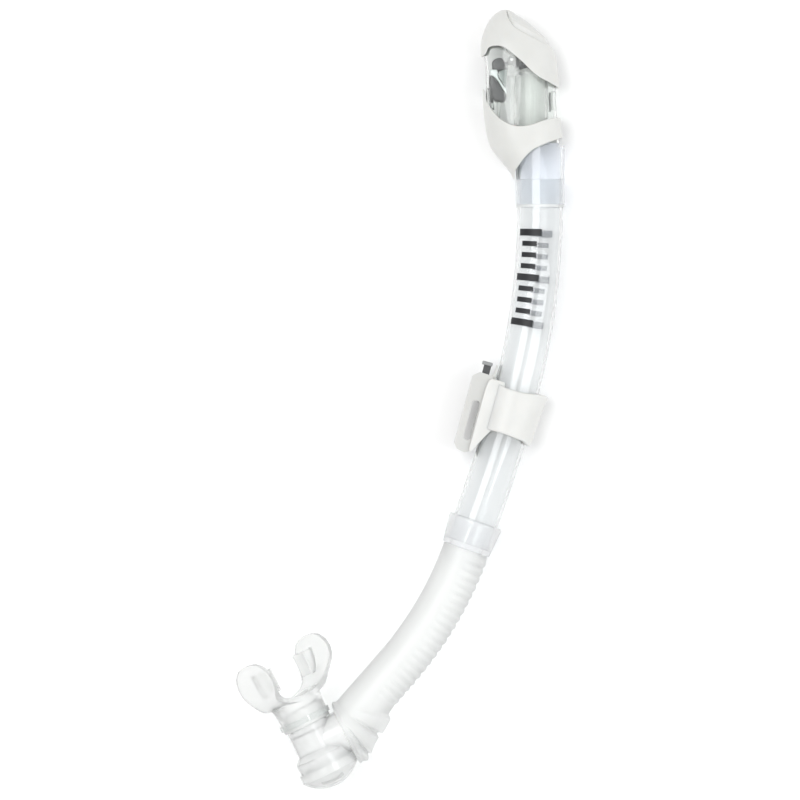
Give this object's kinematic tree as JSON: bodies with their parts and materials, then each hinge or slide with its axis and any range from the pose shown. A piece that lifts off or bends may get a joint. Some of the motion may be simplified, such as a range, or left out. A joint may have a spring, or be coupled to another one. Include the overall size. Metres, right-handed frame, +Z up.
{
  "type": "snorkel tube",
  "caption": "Dry-top snorkel: valve head, curved clear barrel, sliding strap clip, flexible hose with bellows elbow, drain chamber and mouthpiece.",
  "frame": {"origin": "on the floor under the centre of the object's bounding box, with the snorkel lying on its side", "axes": "+Y towards the valve head, +Z up from the floor, +X to the barrel's convex side"},
  "size_m": [0.1786, 0.4286, 0.0576],
  "materials": {
    "white_shell": "satin, off-white, slightly translucent",
    "clear_shell": "clear, polished",
    "clear_silicone": "clear to frosted silicone",
    "dark_float": "matt, dark grey",
    "dark_plastic": "matt, dark grey",
    "grey_plastic": "satin, light grey",
    "black_print": "printed ink",
    "steel_pin": "stainless"
  },
  "bodies": {
    "snorkel": {"barrel": "clear_shell", "height_marks": "black_print", "head_socket": "clear_shell", "head_o_ring": "clear_silicone", "lower_collar": "white_shell", "valve_chamber": "clear_shell", "inlet_tube": "clear_shell", "lever_pin": "steel_pin", "top_hood": "white_shell", "hose_connector": "clear_shell"},
    "float": {"float_block": "dark_float"},
    "flap": {"float_lever": "dark_plastic", "seal_flap": "clear_silicone"},
    "keeper": {"keeper_sleeve": "white_shell", "latch_tab": "dark_plastic"},
    "clip": {"strap_clip": "white_shell", "button_spring": "steel_pin"},
    "button": {"release_button": "grey_plastic", "button_plunger": "dark_plastic"},
    "mouth_end": {"flex_hose": "clear_silicone", "purge_chamber": "clear_shell", "purge_seat": "clear_shell", "purge_cover": "clear_shell", "mouthpiece": "clear_silicone", "mouthpiece_tie": "clear_silicone"},
    "drain": {"purge_valve": "clear_silicone"}
  },
  "joints": [
    {"name": "hose_bend", "type": "hinge", "parent": "snorkel", "child": "mouth_end", "pos_m": [0.01804, -0.11878, 0.02018], "axis": [0.1335, -0.0116, 0.991], "range_deg": [-25, 40], "stiffness_Nm_per_rad": 0.12, "deforming": ["flex_hose"]},
    {"name": "keeper_slide", "type": "hinge", "parent": "snorkel", "child": "keeper", "pos_m": [-0.60944, 0.17694, 0.10815], "axis": [0.1335, -0.0116, 0.991], "range_deg": [-1.5, 0.85]},
    {"name": "clip_release", "type": "slide", "parent": "keeper", "child": "clip", "axis": [-0.263, -0.9645, 0.0241], "range_m": [0, 0.012]},
    {"name": "button_press", "type": "slide", "parent": "clip", "child": "button", "axis": [-0.263, -0.9645, 0.0241], "range_m": [0, 0.0022], "stiffness_N_per_m": 500, "springref_m": -0.0006, "deforming": ["button_spring"]},
    {"name": "float_rise", "type": "slide", "parent": "snorkel", "child": "float", "axis": [0.0015, 0.9999, 0.0115], "range_m": [0, 0.0033]},
    {"name": "flap_swing", "type": "hinge", "parent": "snorkel", "child": "flap", "pos_m": [0.06029, 0.18606, 0.01805], "axis": [0.1335, -0.0116, 0.991], "range_deg": [-25, 0]},
    {"name": "drain_lift", "type": "slide", "parent": "mouth_end", "child": "drain", "axis": [0.4331, -0.8987, -0.0688], "range_m": [0, 0.0012], "stiffness_N_per_m": 20}
  ],
  "couplings": [
    {"joint": "flap_swing", "follows": "float_rise", "rad_per_m": -132.22}
  ]
}
